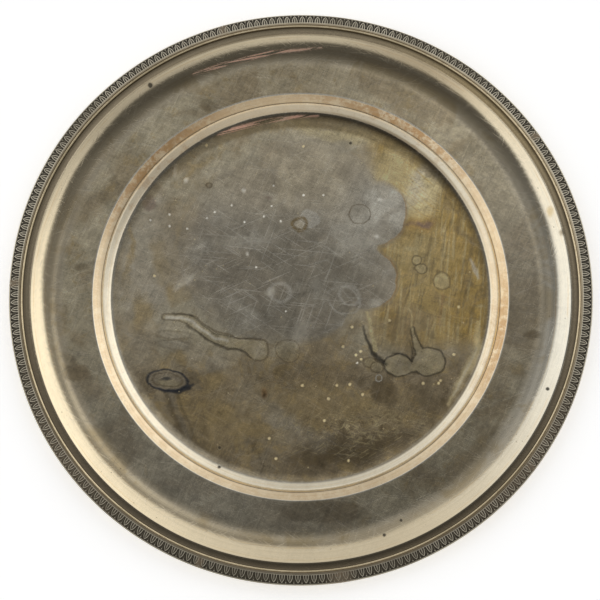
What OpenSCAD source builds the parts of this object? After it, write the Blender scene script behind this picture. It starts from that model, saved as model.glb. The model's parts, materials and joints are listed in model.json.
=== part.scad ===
// Round silver salver: one sheet-metal dish with an applied leaf border in five strips
// and a double-reeded wire inside them.
// Millimetres, +Z up. The origin is the middle of the flat underside that rests on the table.

/* [Overall] */
// Diameter over the border
outer_d = 320; // [300:5:360]
// Thickness of the dish's sheet
sheet_t = 1.2; // [0.9:0.1:1.5]

/* [Well and bouge] */
// Width of the gentle foot of the bouge, where the floor begins to rise
foot_w = 4.8; // [3:0.2:6]
// Angle of the bouge to the horizontal at the end of its foot
foot_slope = 8.5; // [6:0.5:12]
// Width of the tighter curve above the foot
bouge_w = 5.2; // [4:0.2:7]
// Angle of the bouge to the horizontal at its top
bouge_slope = 55; // [40:1:60]
// Width of the plain slope between the bouge and the marly
step_w = 4.9; // [4:0.1:7]
// Angle of the plain slope to the horizontal
step_slope = 18; // [12:1:22]
// Width of the scored line between the bouge and the plain slope
score_w = 0.4; // [0.3:0.1:0.6]
// Depth of the scored line
score_depth = 0.2; // [0.1:0.05:0.3]

/* [Marly and cove] */
// Width of the flat marly
marly_w = 16.6; // [12:0.2:22]
// Width of the cove that rises from the marly to the arris
cove_w = 17; // [12:0.5:20]
// Angle of the cove to the horizontal where it meets the arris
cove_slope = 20; // [15:1:28]
// Width of the ledge between the arris and the reed wire
ledge_w = 4.2; // [3:0.1:6]
// Depth of the ledge's shallow hollow
ledge_dip = 0.1; // [0.1:0.05:0.3]

/* [Reed wire] */
// Width of the wire, over both reeds
reed_w = 2.3; // [1.8:0.1:3]
// Height of the outer reed above the ledge
reed_h = 2.4; // [2:0.1:3]
// How much lower the inner reed stands
reed_step = 0.4; // [0.2:0.1:0.6]

/* [Leaf border] */
// Direction of the first joint between strips, from +X towards +Y
first_joint = 34; // [0:1:72]
// Gap between the ends of two strips
joint_gap = 0.14; // [0.1:0.02:0.3]
// Width of the leaf band
leaf_w = 5.5; // [4.5:0.1:7]
// Height of the strip's inner shoulder above the ledge
shoulder_h = 1.9; // [1.5:0.1:2.2]
// How far the strip's upper face falls from its shoulder to its outer edge
leaf_fall = 2.3; // [1.8:0.1:2.6]
// Angle of the strip's upper face to the horizontal at its shoulder
shoulder_slope = 6; // [3:1:10]
// Angle at which the flange under the strips falls outwards
flange_slope = 14; // [8:1:16]
// How far the strips overhang the cut edge of the flange
overhang = 0.4; // [0.2:0.1:0.6]

/* [Hidden] */

strip_count = 5;
strip_angle = 360 / strip_count;
// Steps in each curved stretch of an outline
arc_steps = 10;

// Radii, from the edge inwards
edge_r = outer_d / 2;
leaf_r = edge_r - leaf_w;
reed_r = leaf_r - reed_w;
arris_r = reed_r - ledge_w;
cove_r = arris_r - cove_w;
marly_r = cove_r - marly_w;
score_r = marly_r - step_w;
foot_r = score_r - bouge_w;
floor_r = foot_r - foot_w;
flange_r = edge_r - overhang;

// Arc radii that give each curve its stated width and end slope
foot_radius = foot_w / sin(foot_slope);
bouge_radius = bouge_w / (sin(bouge_slope) - sin(foot_slope));
cove_radius = cove_w / sin(cove_slope);

// Heights of the upper side
foot_z = sheet_t + foot_radius * (1 - cos(foot_slope));
score_z = foot_z + bouge_radius * (cos(foot_slope) - cos(bouge_slope));
marly_z = score_z + step_w * tan(step_slope);
ledge_z = marly_z + cove_radius * (1 - cos(cove_slope));
flange_z = ledge_z - (flange_r - leaf_r) * tan(flange_slope);

// Points of an arc about (r, z) from angle a0 to a1, counted from +r towards +z
function arc(r, z, radius, a0, a1) = [
    for (i = [0:arc_steps])
        let (a = a0 + (a1 - a0) * i / arc_steps)
            [r + radius * cos(a), z + radius * sin(a)]
];

// Points of a hollow curve that starts at a point and turns from one slope to another,
// its first point left out
function curve_from(start, radius, slope0, slope1) =
    let (r = start[0] - radius * sin(slope0), z = start[1] + radius * cos(slope0))
        [for (i = [1:arc_steps])
            let (a = slope0 + (slope1 - slope0) * i / arc_steps - 90)
                [r + radius * cos(a), z + radius * sin(a)]];

// Points between two ends that bow away from their chord by the given sag, ends left out.
// A positive sag bows upwards on a line that runs outwards.
function bow(p, q, sag) = [
    for (i = [1:arc_steps - 1])
        let (u = i / arc_steps, rise = 4 * sag * u * (1 - u))
            [p[0] + (q[0] - p[0]) * u, p[1] + (q[1] - p[1]) * u + rise]
];

// The scored line: a V cut into the plain slope just above the bouge
function score_points(depth) = depth == 0 ? [] : [
    [score_r + score_w / 2, score_z + score_w / 2 * tan(step_slope) - depth],
    [score_r + score_w, score_z + score_w * tan(step_slope)]
];

// Upper side of the sheet from the floor's middle to the flange's cut edge
function upper_side(depth) = concat(
    [[0, sheet_t]],
    arc(floor_r, sheet_t + foot_radius, foot_radius, -90, foot_slope - 90),
    curve_from([foot_r, foot_z], bouge_radius, foot_slope, bouge_slope),
    score_points(depth),
    [[marly_r, marly_z]],
    arc(cove_r, marly_z + cove_radius, cove_radius, -90, cove_slope - 90),
    bow([arris_r, ledge_z], [reed_r, ledge_z], -ledge_dip),
    [[reed_r, ledge_z], [leaf_r, ledge_z], [flange_r, flange_z]]
);

function direction(p, q) = (q - p) / norm(q - p);
function right_of(d) = [d[1], -d[0]];

// Point i of a line, moved to its right by t, mitred where the line turns
function mitred(line, i, t) =
    let (
        last = len(line) - 1,
        d0 = direction(line[max(i - 1, 0)], line[max(i, 1)]),
        d1 = direction(line[min(i, last - 1)], line[min(i + 1, last)]),
        n0 = right_of(d0),
        n1 = right_of(d1)
    )
    line[i] + t * (n0 + n1) / (1 + n0 * n1);

// Lower side of the sheet, from the edge back to the middle
function lower_side(line) = [
    for (i = [len(line) - 1:-1:0]) mitred(line, i, sheet_t)
];

module dish_outline() {
    polygon(concat(upper_side(score_depth), lower_side(upper_side(0))));
}

module reed_outline() {
    reed_radius = reed_w / 4;
    inner_z = ledge_z + reed_h - reed_step - reed_radius;
    outer_z = ledge_z + reed_h - reed_radius;
    polygon(concat(
        [[leaf_r, ledge_z], [leaf_r, outer_z]],
        arc(leaf_r - reed_radius, outer_z, reed_radius, 0, 180),
        arc(reed_r + reed_radius, inner_z, reed_radius, 0, 180),
        [[reed_r, ledge_z]]
    ));
}

module strip_outline() {
    shoulder = [leaf_r, ledge_z + shoulder_h];
    lip = [edge_r, ledge_z + shoulder_h - leaf_fall];
    // Half the turn between the chord and the shoulder's own slope sets the arc's sag
    chord_slope = atan(leaf_fall / leaf_w);
    sag = norm(lip - shoulder) / 2 * tan((chord_slope - shoulder_slope) / 2);
    polygon(concat(
        [[leaf_r, ledge_z], shoulder],
        bow(shoulder, lip, sag),
        [lip, [edge_r, ledge_z - leaf_w * tan(flange_slope)]]
    ));
}

module dish() {
    color([0.55, 0.52, 0.43])
        rotate_extrude($fn = 180) dish_outline();
}

// Strip number i, counted from 0 at the first joint
module border_strip(i) {
    gap_angle = joint_gap / edge_r * 180 / PI;
    color([0.36, 0.35, 0.30])
        rotate([0, 0, first_joint + i * strip_angle + gap_angle / 2])
            rotate_extrude(angle = strip_angle - gap_angle, $fn = 180) strip_outline();
}

module reed_wire() {
    color([0.72, 0.68, 0.55])
        rotate_extrude($fn = 180) reed_outline();
}

dish();
for (i = [0:strip_count - 1])
    border_strip(i);
reed_wire();
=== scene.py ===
import json
import math

import bpy
import numpy as np
from mathutils import Matrix, Vector


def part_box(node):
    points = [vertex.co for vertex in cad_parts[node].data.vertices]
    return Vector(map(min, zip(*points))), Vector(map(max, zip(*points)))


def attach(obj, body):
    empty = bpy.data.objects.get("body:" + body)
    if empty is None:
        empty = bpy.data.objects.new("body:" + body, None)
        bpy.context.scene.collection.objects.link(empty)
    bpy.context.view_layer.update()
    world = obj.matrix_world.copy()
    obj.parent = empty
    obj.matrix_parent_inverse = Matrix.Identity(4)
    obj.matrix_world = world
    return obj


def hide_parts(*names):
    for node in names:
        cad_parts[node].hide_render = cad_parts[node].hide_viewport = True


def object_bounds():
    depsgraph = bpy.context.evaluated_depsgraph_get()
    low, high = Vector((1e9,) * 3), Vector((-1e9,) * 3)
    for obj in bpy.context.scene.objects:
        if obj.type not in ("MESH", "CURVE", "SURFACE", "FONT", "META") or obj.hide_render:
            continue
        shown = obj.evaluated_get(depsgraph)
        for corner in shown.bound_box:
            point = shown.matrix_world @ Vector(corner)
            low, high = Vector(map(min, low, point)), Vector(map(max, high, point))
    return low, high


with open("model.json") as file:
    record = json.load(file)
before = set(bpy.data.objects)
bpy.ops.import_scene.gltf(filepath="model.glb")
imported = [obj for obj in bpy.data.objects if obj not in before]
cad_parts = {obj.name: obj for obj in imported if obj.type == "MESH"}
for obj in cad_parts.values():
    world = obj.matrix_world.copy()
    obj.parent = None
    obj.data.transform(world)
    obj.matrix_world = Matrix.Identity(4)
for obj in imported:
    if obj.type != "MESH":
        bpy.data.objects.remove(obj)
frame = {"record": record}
CAD_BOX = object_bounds()
MM = 0.001

# ---------------------------------------------------------------- sizes, in metres

STRIP_NODES = ["border_strip_%d" % (i + 1) for i in range(5)]
SHEET = next(m for m in frame["record"]["mounts"] if m["name"] == "well_floor")["pos_m"][2]
EDGE_R = CAD_BOX[1].x
LEDGE_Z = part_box("reed_wire")[0].z
REED_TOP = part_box("reed_wire")[1].z

# Widths of the section's stretches, from the edge inwards
LEAF_W = 5.5 * MM
REED_W = 2.3 * MM
LEDGE_W = 4.2 * MM
COVE_W = 17 * MM
MARLY_W = 16.6 * MM
STEP_W = 4.9 * MM
BOUGE_W = 5.2 * MM
FOOT_W = 4.8 * MM

SCORE_W = 0.4 * MM
SCORE_DEPTH = 0.2 * MM
LEDGE_DIP = 0.1 * MM
REED_STEP = 0.4 * MM
OVERHANG = 0.4 * MM
SHOULDER_H = 1.9 * MM
LEAF_FALL = 2.3 * MM

FOOT_SLOPE = math.radians(8.5)
BOUGE_SLOPE = math.radians(55)
STEP_SLOPE = math.radians(18)
COVE_SLOPE = math.radians(20)
SHOULDER_SLOPE = math.radians(6)
FLANGE_SLOPE = math.radians(14)

LEAF_R = EDGE_R - LEAF_W
REED_R = LEAF_R - REED_W
ARRIS_R = REED_R - LEDGE_W
COVE_R = ARRIS_R - COVE_W
MARLY_R = COVE_R - MARLY_W
SCORE_R = MARLY_R - STEP_W
FOOT_R = SCORE_R - BOUGE_W
FLOOR_R = FOOT_R - FOOT_W
FLANGE_R = EDGE_R - OVERHANG

FOOT_RADIUS = FOOT_W / math.sin(FOOT_SLOPE)
BOUGE_RADIUS = BOUGE_W / (math.sin(BOUGE_SLOPE) - math.sin(FOOT_SLOPE))
COVE_RADIUS = COVE_W / math.sin(COVE_SLOPE)
FOOT_Z = SHEET + FOOT_RADIUS * (1 - math.cos(FOOT_SLOPE))
SCORE_Z = FOOT_Z + BOUGE_RADIUS * (math.cos(FOOT_SLOPE) - math.cos(BOUGE_SLOPE))
MARLY_Z = SCORE_Z + STEP_W * math.tan(STEP_SLOPE)
FLANGE_Z = LEDGE_Z - (FLANGE_R - LEAF_R) * math.tan(FLANGE_SLOPE)

# The leaf border. LEAVES counts the leaves of one strip
FIRST_JOINT = math.radians(34)
JOINT_GAP = 0.14 * MM
LEAVES = 46

# Mesh steps: round the dish and the wire, and across and along one leaf
DISH_SEGMENTS = 440
REED_SEGMENTS = 600
LEAF_COLUMNS = 24
LEAF_ROWS = 30

# ---------------------------------------------------------------- outlines


def arc(r, z, radius, start, end, steps):
    """Points of an arc about (r, z), its angles in radians from +r towards +z."""
    return [
        (r + radius * math.cos(a), z + radius * math.sin(a))
        for a in np.linspace(start, end, steps + 1)
    ]


def bow(p, q, sag, steps):
    """Points from p to q, both ends in, that bow up by sag in the middle."""
    return [
        (p[0] + (q[0] - p[0]) * u, p[1] + (q[1] - p[1]) * u + 4 * sag * u * (1 - u))
        for u in np.linspace(0, 1, steps + 1)
    ]


def eased(line, corner, radius, steps=5):
    """The line with the corner nearest to a point rounded off by an arc of that radius."""
    i = min(range(len(line)), key=lambda k: math.dist(line[k], corner))
    p = Vector(line[i])
    a = (Vector(line[i - 1]) - p).normalized()
    b = (Vector(line[i + 1]) - p).normalized()
    half = a.angle(b) / 2
    reach = radius / math.tan(half)
    centre = p + (a + b).normalized() * radius / math.sin(half)
    start = p + a * reach - centre
    end = p + b * reach - centre
    turned = []
    for u in np.linspace(0, 1, steps + 1):
        spoke = (start * (1 - u) + end * u).normalized() * radius
        turned.append(tuple(centre + spoke))
    return line[:i] + turned + line[i + 1:]


def offset(line, distance):
    """The line moved to its right by a distance, mitred where it turns."""
    pts = [Vector(p) for p in line]
    moved = []
    for i, p in enumerate(pts):
        before = (pts[max(i, 1)] - pts[max(i, 1) - 1]).normalized()
        after = (pts[min(i + 1, len(pts) - 1)] - pts[min(i, len(pts) - 2)]).normalized()
        n0 = Vector((before.y, -before.x))
        n1 = Vector((after.y, -after.x))
        moved.append(tuple(p + distance * (n0 + n1) / (1 + n0.dot(n1))))
    return moved


def dish_upper(scored):
    """The dish's upper side from near its middle to the flange's edge."""
    down = -math.pi / 2
    bouge_r = FOOT_R - BOUGE_RADIUS * math.sin(FOOT_SLOPE)
    bouge_z = FOOT_Z + BOUGE_RADIUS * math.cos(FOOT_SLOPE)
    line = [(r, SHEET) for r in np.linspace(0.5 * MM, FLOOR_R - 2 * MM, 34)]
    line += arc(FLOOR_R, SHEET + FOOT_RADIUS, FOOT_RADIUS, down, down + FOOT_SLOPE, 8)
    line += arc(bouge_r, bouge_z, BOUGE_RADIUS, down + FOOT_SLOPE, down + BOUGE_SLOPE, 16)[1:]
    if scored:
        middle_z = SCORE_Z + SCORE_W / 2 * math.tan(STEP_SLOPE)
        line += [
            (SCORE_R + SCORE_W / 2, middle_z - SCORE_DEPTH),
            (SCORE_R + SCORE_W, SCORE_Z + SCORE_W * math.tan(STEP_SLOPE)),
        ]
    line += [(SCORE_R + 0.5 * STEP_W, SCORE_Z + 0.5 * (MARLY_Z - SCORE_Z))]
    line += [(r, MARLY_Z) for r in np.linspace(MARLY_R, COVE_R - 1 * MM, 8)]
    line += arc(COVE_R, MARLY_Z + COVE_RADIUS, COVE_RADIUS, down, down + COVE_SLOPE, 24)
    line += bow((ARRIS_R, LEDGE_Z), (REED_R, LEDGE_Z), -LEDGE_DIP, 8)[1:]
    line += [(LEAF_R, LEDGE_Z), (FLANGE_R, FLANGE_Z)]
    return line


def dish_outline():
    """The dish's upper side outwards, then its lower side back, and where the lower side starts."""
    upper = eased(dish_upper(True), (MARLY_R, MARLY_Z), 0.5 * MM)
    upper = eased(upper, (ARRIS_R, LEDGE_Z), 0.3 * MM)
    lower = offset(dish_upper(False), SHEET)
    return upper + lower[::-1], len(upper)


def reed_outline():
    """The wire's section: two reeds side by side, the inner one lower."""
    radius = REED_W / 4
    crease = 0.12
    outer_z = REED_TOP - radius
    inner_z = outer_z - REED_STEP
    return (
        [(REED_R, LEDGE_Z)]
        + arc(REED_R + radius, inner_z, radius, math.pi, crease, 12)
        + arc(LEAF_R - radius, outer_z, radius, math.pi - crease, 0, 12)
        + [(LEAF_R, LEDGE_Z)]
    )


# ---------------------------------------------------------------- meshes


def mesh_object(name, points, faces, node, sharp=50):
    """A smooth-shaded piece of the root body that stands in for one CAD node."""
    mesh = bpy.data.meshes.new(name)
    mesh.from_pydata(points, [], faces)
    mesh.validate()
    mesh.polygons.foreach_set("use_smooth", [True] * len(mesh.polygons))
    mesh.set_sharp_from_angle(angle=math.radians(sharp))
    piece = bpy.data.objects.new(name, mesh)
    bpy.context.scene.collection.objects.link(piece)
    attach(piece, "root")
    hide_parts(node)
    return piece


def turned(outline, segments, closed):
    """Points and faces of an outline of (r, z) turned about Z. An open one ends on the axis."""
    n = len(outline)
    turns = np.linspace(0, 2 * math.pi, segments, endpoint=False)
    points = [(r * math.cos(a), r * math.sin(a), z) for a in turns for r, z in outline]
    faces = []
    for k in range(segments):
        here = k * n
        there = (k + 1) % segments * n
        for i in range(n if closed else n - 1):
            j = (i + 1) % n
            faces.append((here + j, there + j, there + i, here + i))
    if not closed:
        for end in (0, n - 1):
            points.append((0, 0, outline[end][1]))
            for k in range(segments):
                a = k * n + end
                b = (k + 1) % segments * n + end
                pole = len(points) - 1
                faces.append((pole, a, b) if end == 0 else (pole, b, a))
    return points, faces


def smooth(x, low, high):
    """A smooth step from 0 at low to 1 at high, or down where low is the greater."""
    t = np.clip((x - low) / (high - low), 0, 1)
    return t * t * (3 - 2 * t)


def beaten(x, y, rng):
    """The slight unevenness of a hand-finished sheet: a few long waves, in metres."""
    z = np.zeros_like(x)
    waves = 14
    steepness = 0.0016
    for _ in range(waves):
        length = rng.uniform(38, 110) * MM
        heading = rng.uniform(0, math.pi)
        phase = rng.uniform(0, 2 * math.pi)
        along = x * math.cos(heading) + y * math.sin(heading)
        number = 2 * math.pi / length
        z += steepness / number * np.sin(number * along + phase)
    return z


def make_dish():
    """The dish. Its well, its rim and its underside take three materials, in that order."""
    outline, lower_start = dish_outline()
    points, faces = turned(outline, DISH_SEGMENTS, closed=False)
    points = np.array(points)
    r = np.hypot(points[:, 0], points[:, 1])
    fade = 1 - smooth(r, ARRIS_R - 12 * MM, ARRIS_R - 1 * MM)
    points[:, 2] += beaten(points[:, 0], points[:, 1], np.random.default_rng(7)) * fade
    points[:, 2] = np.maximum(points[:, 2], 0)
    piece = mesh_object("dish_body", points.tolist(), faces, "dish")
    n = len(outline)
    pole = DISH_SEGMENTS * n
    slots = []
    for polygon in piece.data.polygons:
        rows = [v % n if v < pole else (0 if v == pole else n - 1) for v in polygon.vertices]
        middle = (outline[min(rows)][0] + outline[max(rows)][0]) / 2
        slots.append(2 if min(rows) >= lower_start - 1 else int(middle > FOOT_R))
    piece.data.polygons.foreach_set("material_index", slots)
    return piece


def make_reed():
    points, faces = turned(reed_outline(), REED_SEGMENTS, closed=True)
    return mesh_object("reed_ring", points, faces, "reed_wire")


# ---------------------------------------------------------------- the stamped leaves

# Distances out from the shoulder
LEAF_FOOT = 0.5 * MM
LEAF_TIP = 5.0 * MM
STEM_START = 1.1 * MM
STEM_END = 4.5 * MM
BEAD_AT = 4.66 * MM
RIM_START = 5.4 * MM

# Half-widths across a leaf, and the power by which it narrows to its tip
LEAF_TAPER = 2.4
LEAF_HALF = 1.62 * MM
RIB_HALF = 0.31 * MM
RIB_INSET = 0.28 * MM
VEIN_HALF = 0.45 * MM
STEM_HALF = 0.23 * MM
BEAD_RADIUS = 0.5 * MM

# Heights. The ground is sunk below the plain face, and the rest rise from it
GROUND = -0.55 * MM
RIDGE_H = 0.55 * MM
FIELD_H = 0.1 * MM
VEIN_H = 0.36 * MM
STEM_H = 0.38 * MM

# How far the strip's outer corners are eased, inwards and in height
EASE_IN = 0.12 * MM
EASE_H = 0.15 * MM

# Where the leaves are clogged: direction in degrees, reach and how much
CLOGGED = ((215, 26, 0.45), (322, 30, 0.45), (278, 4, 0.9))


def mound(d, half):
    """A round-topped ridge, 1 at d = 0 and 0 from half outwards."""
    return np.sqrt(np.clip(1 - (d / half) ** 2, 0, 1))


def leaf_relief(s, q, pitch):
    """Height from the plain face. s runs out from the shoulder, q across from a leaf's middle."""
    t = np.clip((s - LEAF_FOOT) / (LEAF_TIP - LEAF_FOOT), 0, 1)
    half = LEAF_HALF * (1 - t ** LEAF_TAPER)
    lean = LEAF_TAPER * LEAF_HALF * t ** (LEAF_TAPER - 1) / (LEAF_TIP - LEAF_FOOT)
    inside = (half - np.abs(q)) / np.sqrt(1 + lean ** 2)

    rib = mound(inside - RIB_INSET, RIB_HALF)
    field = smooth(inside, 0.36 * MM, 0.58 * MM)
    vein_half = VEIN_HALF - 0.4 * MM * smooth(t, 0.35, 0.85)
    vein = mound(q, vein_half) * (1 - smooth(t, 0.66, 0.8)) * field
    h = np.maximum(GROUND + RIDGE_H * rib, GROUND + (FIELD_H + VEIN_H * vein) * field)

    between = pitch / 2 - np.abs(q)
    stem = mound(between, STEM_HALF) * smooth(s, STEM_START, STEM_START + 0.6 * MM)
    stem = stem * smooth(s, STEM_END, STEM_END - 0.4 * MM)
    bead = mound(np.hypot(between, s - BEAD_AT), BEAD_RADIUS)
    h = np.maximum(h, GROUND + np.maximum(STEM_H * stem, RIDGE_H * bead))

    edge = 0.25 * MM
    inner = smooth(s, LEAF_FOOT, LEAF_FOOT - edge)
    outer = smooth(s, RIM_START - edge, RIM_START)
    return h * (1 - np.maximum(inner, outer))


def near(angle, centre, reach):
    """1 at an angle and 0 from reach away from it, all in degrees."""
    gap = np.abs((angle - centre + 180) % 360 - 180)
    return 1 - smooth(gap, 0, reach)


def strip_section():
    """The strip's plain upper face: arc lengths, points and outward normals."""
    shoulder = (LEAF_R, LEDGE_Z + SHOULDER_H)
    lip = (EDGE_R, LEDGE_Z + SHOULDER_H - LEAF_FALL)
    chord_slope = math.atan2(LEAF_FALL, LEAF_W)
    sag = math.dist(shoulder, lip) / 2 * math.tan((chord_slope - SHOULDER_SLOPE) / 2)
    face = np.array(bow(shoulder, lip, sag, LEAF_ROWS))
    run = np.gradient(face, axis=0)
    run /= np.linalg.norm(run, axis=1)[:, None]
    normal = np.stack([-run[:, 1], run[:, 0]], axis=1)
    length = np.concatenate([[0], np.cumsum(np.linalg.norm(np.diff(face, axis=0), axis=1))])
    return length, face, normal


def make_strip(index, node):
    """One stamped strip, with how high its relief stands and how clogged it is as attributes."""
    rng = np.random.default_rng(100 + index)
    length, face, normal = strip_section()
    columns = LEAVES * LEAF_COLUMNS + 1
    gap_angle = JOINT_GAP / EDGE_R
    span = 2 * math.pi / len(STRIP_NODES)
    start = FIRST_JOINT + index * span + gap_angle / 2
    angles = np.linspace(start, start + span - gap_angle, columns)
    leaf = np.arange(columns) / LEAF_COLUMNS
    phase = leaf % 1 - 0.5
    phase[-1] = 0.5
    centres = np.arange(LEAVES) + 0.5
    wear = np.interp(leaf, centres, rng.uniform(0.0, 0.55, LEAVES))
    skew = np.interp(leaf, centres, rng.uniform(-0.05, 0.05, LEAVES)) * MM

    degrees = np.degrees(angles)
    ends = np.minimum(leaf, LEAVES - leaf)
    clogged = smooth(ends, 0.7, 0.1)
    for centre, reach, amount in CLOGGED:
        clogged = np.maximum(clogged, near(degrees, centre, reach) * amount)

    radius = face[:, 0][None, :]
    pitch = radius * (span - gap_angle) / LEAVES
    q = phase[:, None] * pitch + skew[:, None] * (1 - 4 * phase[:, None] ** 2)
    h = leaf_relief(length[None, :] * np.ones((columns, 1)), q, pitch)
    worn = np.minimum(h, -0.1 * MM * wear[:, None] * smooth(length, 0.3 * MM, 0.8 * MM)[None, :])
    h = np.where(length[None, :] > RIM_START, h, worn)
    h = np.maximum(h, GROUND * (1 - 0.6 * clogged[:, None]))
    h[:, 0] = 0
    h[:, -1] = 0

    top = face[None] + h[..., None] * normal[None]
    lip_z = face[-1, 1]
    bottom_z = LEDGE_Z - LEAF_W * math.tan(FLANGE_SLOPE)
    skirt = np.array([
        (EDGE_R, lip_z - EASE_H),
        (EDGE_R, bottom_z + EASE_H),
        (EDGE_R - EASE_IN, bottom_z),
        (LEAF_R, LEDGE_Z),
    ])
    top[:, -1, 0] -= EASE_IN
    top[:, -1, 1] += 0.02 * MM
    rows = LEAF_ROWS + 1 + len(skirt)
    section = np.concatenate([top, np.broadcast_to(skirt, (columns, len(skirt), 2))], axis=1)
    x = section[..., 0] * np.cos(angles)[:, None]
    y = section[..., 0] * np.sin(angles)[:, None]
    points = np.stack([x, y, section[..., 1]], axis=-1).reshape(-1, 3)

    faces = []
    for k in range(columns - 1):
        here = k * rows
        there = here + rows
        for i in range(rows):
            j = (i + 1) % rows
            faces.append((here + j, there + j, there + i, here + i))
    faces.append(tuple(reversed(range(rows))))
    last = (columns - 1) * rows
    faces.append(tuple(last + i for i in range(rows)))
    piece = mesh_object("leaf_" + node, points.tolist(), faces, node, sharp=60)

    relief = np.ones((columns, rows))
    relief[:, :LEAF_ROWS + 1] = 1 - h / GROUND
    grime = np.broadcast_to(clogged[:, None], (columns, rows))
    for name, values in (("relief", relief), ("grime", grime)):
        attribute = piece.data.attributes.new(name, "FLOAT", "POINT")
        attribute.data.foreach_set("value", values.astype(np.float32).ravel())
    return piece


# ---------------------------------------------------------------- node helpers


class Graph:
    """Short calls that add nodes to a tree. Each gives back the new node's output socket.

    Shapes are worked out on single numbers and never on vectors: Cycles puts off each
    change of socket type, and a large material would then run out of stack.
    """

    def __init__(self, tree):
        self.tree = tree
        tree.nodes.clear()
        self.spot = None
        self.turn = None

    def add(self, kind, inputs, output=0, **settings):
        node = self.tree.nodes.new(kind)
        for name, value in settings.items():
            setattr(node, name, value)
        for key, value in inputs.items():
            if isinstance(value, bpy.types.NodeSocket):
                self.tree.links.new(value, node.inputs[key])
            else:
                node.inputs[key].default_value = value
        return node.outputs[output] if node.outputs else None

    def math(self, operation, *values):
        return self.add("ShaderNodeMath", dict(enumerate(values)), operation=operation)

    def times(self, *values):
        product = values[0]
        for value in values[1:]:
            product = self.math("MULTIPLY", product, value)
        return product

    def line(self, value, slope, start):
        return self.math("MULTIPLY_ADD", value, slope, start)

    def length(self, u, v):
        return self.math("SQRT", self.math("MULTIPLY_ADD", u, u, self.times(v, v)))

    def step(self, value, low, high):
        """A smooth step from 0 at low to 1 at high, or down where low is the greater."""
        inputs = {"Value": value, "From Min": low, "From Max": high}
        return self.add("ShaderNodeMapRange", inputs, interpolation_type="SMOOTHSTEP")

    # A mix node's sockets share their names, so these two go by number

    def blend(self, factor, a, b):
        return self.add("ShaderNodeMix", {0: factor, 6: a, 7: b}, 2, data_type="RGBA")

    def blend_numbers(self, factor, a, b):
        return self.add("ShaderNodeMix", {0: factor, 2: a, 3: b}, data_type="FLOAT")

    # Directions in degrees from +X

    def polar(self, place):
        """Distance from the middle in mm. The direction is kept for towards."""
        self.turn = self.times(self.math("ARCTAN2", place[1], place[0]), 180 / math.pi)
        return self.length(*place)

    def towards(self, centre, reach):
        """1 in a direction and 0 from reach away."""
        gap = self.math("WRAP", self.math("SUBTRACT", self.turn, centre), 180, -180)
        return self.step(self.math("ABSOLUTE", gap), reach, 0)

    # Patterns over the piece. Scales are per millimetre

    def stretched(self, turn, size, shift=(0, 0)):
        """The piece's place, turned in degrees and measured in the given lengths in mm."""
        inputs = {
            "Vector": self.spot,
            "Location": (shift[0] * MM, shift[1] * MM, 0),
            "Rotation": (0, 0, math.radians(turn)),
            "Scale": (size[0] * MM, size[1] * MM, MM),
        }
        return self.add("ShaderNodeMapping", inputs, vector_type="TEXTURE")

    def noise(self, scale, detail=3.0, roughness=0.5, warp=0.0):
        inputs = {
            "Vector": self.spot,
            "Scale": scale / MM,
            "Detail": detail,
            "Roughness": roughness,
            "Distortion": warp,
        }
        return self.add("ShaderNodeTexNoise", inputs)

    def brushed(self, turn, size, shift=(0, 0)):
        """Noise drawn out along one direction."""
        inputs = {"Vector": self.stretched(turn, size, shift), "Scale": 1.0, "Detail": 3.0}
        return self.add("ShaderNodeTexNoise", inputs)

    def hairlines(self, turn, size, shift, rarity=0.66):
        """Scattered straight scratches in one direction, where drawn-out noise peaks."""
        inputs = {"Vector": self.stretched(turn, size, shift), "Scale": 1.0, "Detail": 0.0}
        return self.step(self.add("ShaderNodeTexNoise", inputs), rarity, rarity + 0.09)

    def rings(self, r, scale):
        """Noise that changes with the radius only, for marks that run round the piece."""
        still = self.add("ShaderNodeMapping", {"Vector": self.spot, "Scale": (0, 0, 0)})
        inputs = {"Vector": still, "W": r, "Scale": scale, "Detail": 3.0}
        return self.add("ShaderNodeTexNoise", inputs, noise_dimensions="4D")

    def specks(self, spacing, radius, shift=(0, 0)):
        """Round specks, at most one to a cell."""
        inputs = {"Vector": self.stretched(0, (spacing, spacing), shift), "Scale": 1.0}
        nearest = self.add("ShaderNodeTexVoronoi", inputs)
        return self.step(nearest, radius / spacing, 0.5 * radius / spacing)

    # Places are pairs of numbers in millimetres. Shapes are distances, negative inside

    def frayed(self, place, scale, reach, seed):
        """The place pushed about by noise, so that edges drawn from it wander."""
        moved = []
        for number, value in enumerate(place):
            shift = (seed * 31.0 + number * 57.0, seed * 43.0)
            inputs = {
                "Vector": self.stretched(0, (1, 1), shift),
                "Scale": scale,
                "Detail": 3.0,
                "Roughness": 0.55,
            }
            push = self.add("ShaderNodeTexNoise", inputs)
            moved.append(self.math("ADD", value, self.line(push, 4 * reach, -2 * reach)))
        return tuple(moved)

    def local(self, place, centre, turn, size):
        """The place seen from a centre, turned in degrees, in units of the given sizes."""
        x, y = place
        a = math.radians(turn)
        c, s = math.cos(a), math.sin(a)
        u0 = -(centre[0] * c + centre[1] * s) / size[0]
        v0 = (centre[0] * s - centre[1] * c) / size[1]
        if turn == 0:
            return self.line(x, 1 / size[0], u0), self.line(y, 1 / size[1], v0)
        u = self.line(x, c / size[0], self.line(y, s / size[0], u0))
        v = self.line(x, -s / size[1], self.line(y, c / size[1], v0))
        return u, v

    def oval(self, place, centre, radii, turn=0):
        small = min(radii)
        return self.line(self.length(*self.local(place, centre, turn, radii)), small, -small)

    def pool(self, place, centre, radii, turn, soft):
        return self.inside(self.oval(place, centre, radii, turn), soft)

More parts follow.
